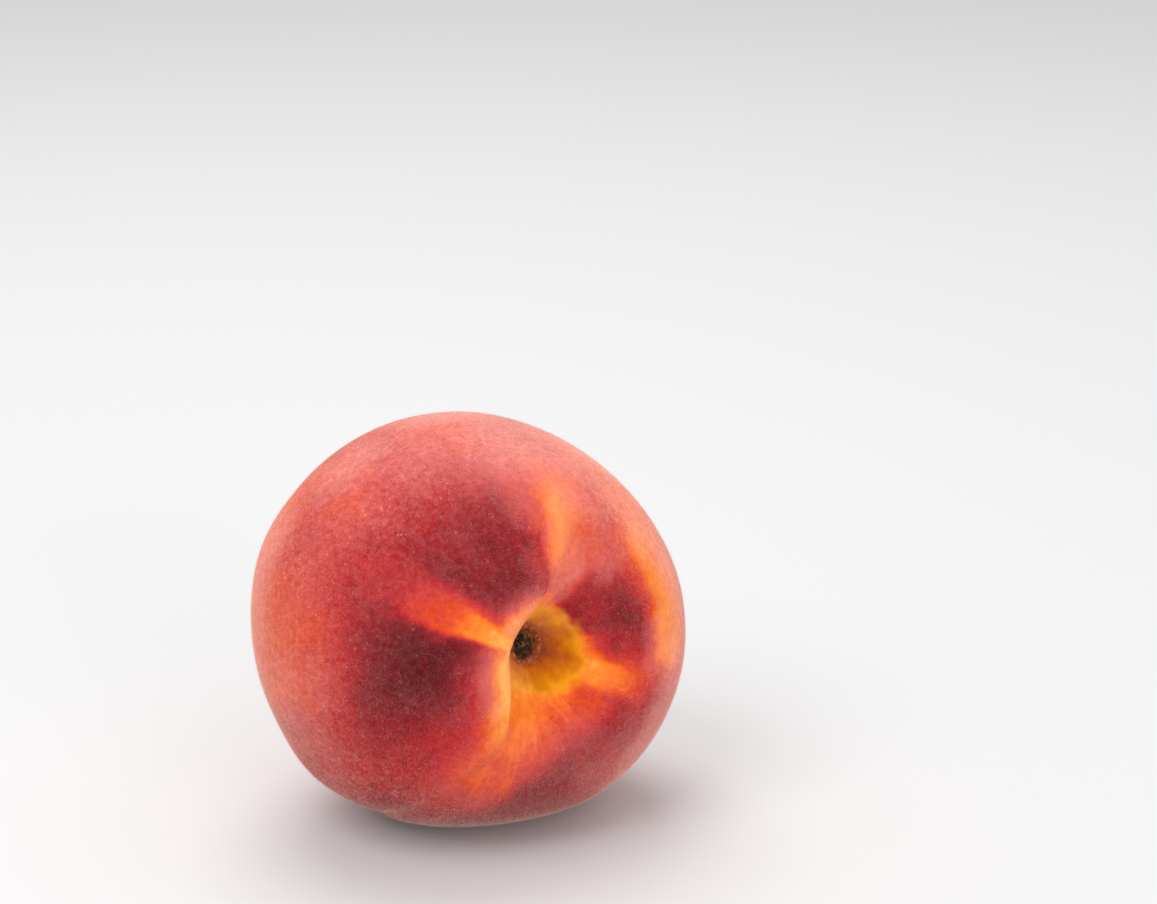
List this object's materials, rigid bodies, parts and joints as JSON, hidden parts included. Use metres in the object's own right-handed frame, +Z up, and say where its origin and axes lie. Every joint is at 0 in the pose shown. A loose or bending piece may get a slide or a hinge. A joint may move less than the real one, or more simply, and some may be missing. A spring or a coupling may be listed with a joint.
{
  "type": "peach",
  "caption": "Whole ripe peach without a stalk, lying on its flank, with a stalk cavity, a crease between its cheeks and a small point at the far end.",
  "frame": {"origin": "centre of the bounding box at its bottom, on the surface that the fruit rests on", "axes": "+Z up; -Y is the front, where the stalk cavity faces, turned about 27 degrees towards +X; +X to the right seen from the front"},
  "size_m": [0.075, 0.068, 0.0715],
  "materials": {
    "skin": null,
    "fuzz": null,
    "stalk_scar": null
  },
  "bodies": {
    "root": {"peach": "skin"}
  },
  "joints": []
}
